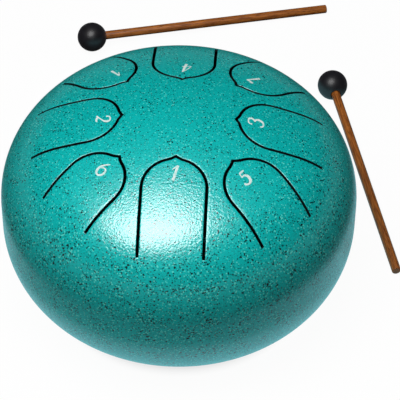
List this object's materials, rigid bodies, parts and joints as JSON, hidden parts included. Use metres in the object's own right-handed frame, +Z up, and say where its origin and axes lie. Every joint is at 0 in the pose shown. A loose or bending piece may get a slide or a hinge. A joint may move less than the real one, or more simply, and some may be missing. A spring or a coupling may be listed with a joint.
{
  "type": "steel tongue drum",
  "caption": "Round steel drum whose domed face is slotted into tuned tongues, on rubber feet, with a pair of rubber-headed mallets lying beside it.",
  "frame": {"origin": "middle of the whole set's footprint (drum and both mallets), on the plane that the feet and the mallets stand on; the drum's axis is at x = -0.0192 m, y = -0.0951 m", "axes": "+Z up along the drum's axis; -Y towards the player, where the longest tongue points; +X to the player's right"},
  "size_m": [0.2924, 0.4442, 0.1638],
  "materials": {
    "body_paint": "teal speckled powder coat with a fine orange-peel texture, semi-gloss",
    "foot_rubber": "matte black moulded rubber",
    "fastener_steel": "bright zinc plated steel",
    "mallet_rubber": "smooth glossy black rubber",
    "mallet_wood": "straight-grained brown hardwood, satin"
  },
  "bodies": {
    "drum": {"top_shell": "body_paint", "seam_weld": "body_paint", "bottom_shell": "body_paint", "foot_1": "foot_rubber", "foot_2": "foot_rubber", "foot_3": "foot_rubber", "foot_washer_1": "fastener_steel", "foot_washer_2": "fastener_steel", "foot_washer_3": "fastener_steel", "foot_screw_1": "fastener_steel", "foot_screw_2": "fastener_steel", "foot_screw_3": "fastener_steel", "foot_nut_1": "fastener_steel", "foot_nut_2": "fastener_steel", "foot_nut_3": "fastener_steel"},
    "mallet_back": {"mallet_back_head": "mallet_rubber", "mallet_back_stick": "mallet_wood"},
    "mallet_side": {"mallet_side_head": "mallet_rubber", "mallet_side_stick": "mallet_wood"}
  },
  "joints": [
    {"name": "mallet_back_lift", "type": "slide", "parent": "drum", "child": "mallet_back", "axis": [0, 0, 1], "range_m": [0, 0.2]},
    {"name": "mallet_side_lift", "type": "slide", "parent": "drum", "child": "mallet_side", "axis": [0, 0, 1], "range_m": [0, 0.2]}
  ]
}
